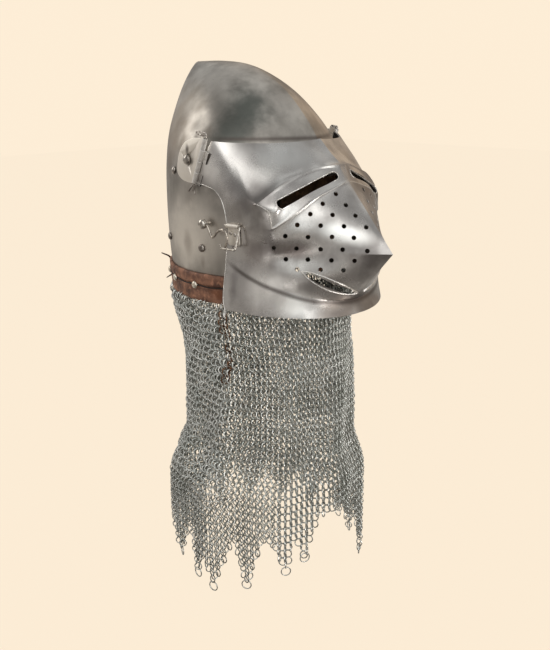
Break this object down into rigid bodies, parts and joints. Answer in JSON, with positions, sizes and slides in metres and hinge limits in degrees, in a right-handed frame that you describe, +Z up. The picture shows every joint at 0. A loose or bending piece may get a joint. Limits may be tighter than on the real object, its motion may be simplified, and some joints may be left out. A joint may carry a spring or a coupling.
{
  "type": "great bascinet helmet",
  "caption": "Pointed steel bascinet with a pig-faced visor on side pivots and barrel hinges, a hook latch, a studded leather band, a leather liner and a dagged mail aventail.",
  "frame": {"origin": "middle of the crown disc's underside, the leather disc inside the skull that sits on top of the wearer's head", "axes": "+X where the face looks, +Y to the wearer's left, +Z up through the top of the head"},
  "size_m": [0.3401, 0.2568, 0.654],
  "materials": {
    "skull_steel": "worn satin steel with warm stains",
    "visor_steel": "worn polished steel with brushed scratches",
    "bright_steel": "bright polished",
    "band_leather": "worn dark red-brown leather",
    "liner_leather": "matt tan leather",
    "mail_steel": "grey zinc-coated wire"
  },
  "bodies": {
    "helmet": {"skull": "skull_steel", "pivot_washer_right": "visor_steel", "pivot_washer_left": "visor_steel", "pivot_rivet_right": "bright_steel", "pivot_rivet_left": "bright_steel", "hook_stud": "bright_steel", "band_stud_1": "bright_steel", "band_stud_2": "bright_steel", "band_stud_3": "bright_steel", "band_stud_4": "bright_steel", "band_stud_5": "bright_steel", "band_stud_6": "bright_steel", "band_stud_7": "bright_steel", "band_stud_8": "bright_steel", "band_stud_9": "bright_steel", "liner_rivet_side_right": "bright_steel", "liner_rivet_side_left": "bright_steel", "liner_rivet_rear_right": "bright_steel", "liner_rivet_rear_left": "bright_steel", "liner_rivet_high_right": "bright_steel", "liner_rivet_high_left": "bright_steel", "leather_band": "band_leather", "band_lace": "band_leather", "liner_strip": "liner_leather", "liner_petal_1": "liner_leather", "liner_petal_2": "liner_leather", "liner_petal_3": "liner_leather", "liner_petal_4": "liner_leather", "liner_petal_5": "liner_leather", "liner_petal_6": "liner_leather", "crown_disc": "liner_leather", "crown_lace": "liner_leather", "mail_curtain": "mail_steel"},
    "visor": {"visor": "visor_steel", "side_plate_right": "visor_steel", "side_plate_left": "visor_steel", "hinge_pin_right": "bright_steel", "hinge_pin_left": "bright_steel", "keeper_tab": "visor_steel", "keeper_wire": "bright_steel", "tab_rivet_1": "bright_steel", "tab_rivet_2": "bright_steel"},
    "latch_hook": {"latch_hook": "bright_steel"}
  },
  "joints": [
    {"name": "visor_lift", "type": "hinge", "parent": "helmet", "child": "visor", "pos_m": [0.03096, 0, -0.08494], "axis": [0, -1, 0], "range_deg": [0, 60]},
    {"name": "hook_swing", "type": "hinge", "parent": "helmet", "child": "latch_hook", "pos_m": [0.06143, -0.1112, -0.15457], "axis": [0, 1, 0], "range_deg": [0, 55]}
  ]
}
